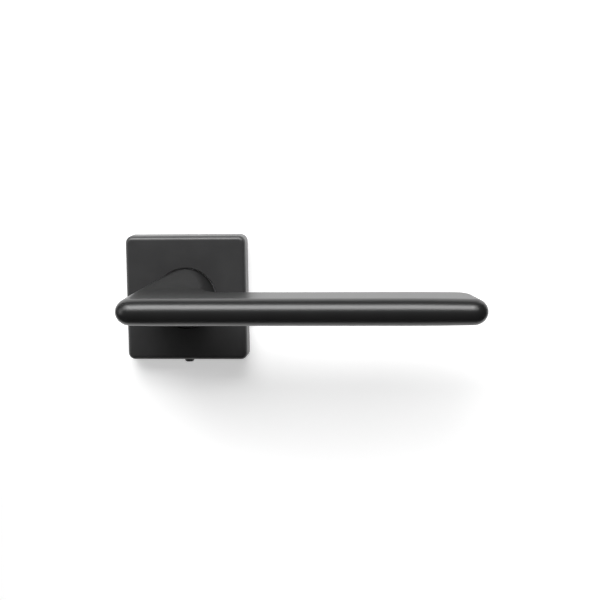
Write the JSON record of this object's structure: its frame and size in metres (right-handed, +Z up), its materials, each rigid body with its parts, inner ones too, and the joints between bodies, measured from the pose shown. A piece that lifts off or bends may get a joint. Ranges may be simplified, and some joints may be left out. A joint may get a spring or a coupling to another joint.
{
  "type": "door lever handle",
  "caption": "Flat blade lever handle on a square rose, with its sprung base plate, square spindle and door screws, for one side of a door.",
  "frame": {"origin": "on the spindle's axis, in the plane of the door's face that the rose rests on", "axes": "+Y into the door along the spindle, so -Y towards the hand; +X along the lever towards its tip; +Z up"},
  "size_m": [0.1541, 0.1083, 0.0544],
  "materials": {
    "black_coat": "fine satin black coat",
    "black_steel": "black oxide",
    "zinc_plated_steel": "bright zinc plate",
    "cast_zinc": "as cast",
    "spring_steel": "oiled",
    "nylon": "moulded"
  },
  "bodies": {
    "rose": {"cover_rose": "black_coat", "cover_screw": "black_steel", "base_plate": "cast_zinc", "back_plate": "zinc_plated_steel", "back_plate_screw_top": "zinc_plated_steel", "back_plate_screw_bottom": "zinc_plated_steel", "bearing_bush": "nylon", "return_spring_left": "spring_steel", "return_spring_right": "spring_steel", "through_bolt_left": "zinc_plated_steel", "through_bolt_right": "zinc_plated_steel", "wood_screw_upper_left": "zinc_plated_steel", "wood_screw_upper_right": "zinc_plated_steel", "wood_screw_lower_left": "zinc_plated_steel", "wood_screw_lower_right": "zinc_plated_steel"},
    "lever": {"lever": "black_coat", "spindle": "zinc_plated_steel", "spindle_set_screw": "black_steel", "rotor": "cast_zinc", "thrust_washer": "nylon", "retaining_ring": "spring_steel"}
  },
  "joints": [
    {"name": "lever_turn", "type": "hinge", "parent": "rose", "child": "lever", "pos_m": [0, 0, 0], "axis": [0, 1, 0], "range_deg": [0, 45], "stiffness_Nm_per_rad": 0.8, "springref_deg": -34.38, "deforming": ["return_spring_left", "return_spring_right"]}
  ]
}
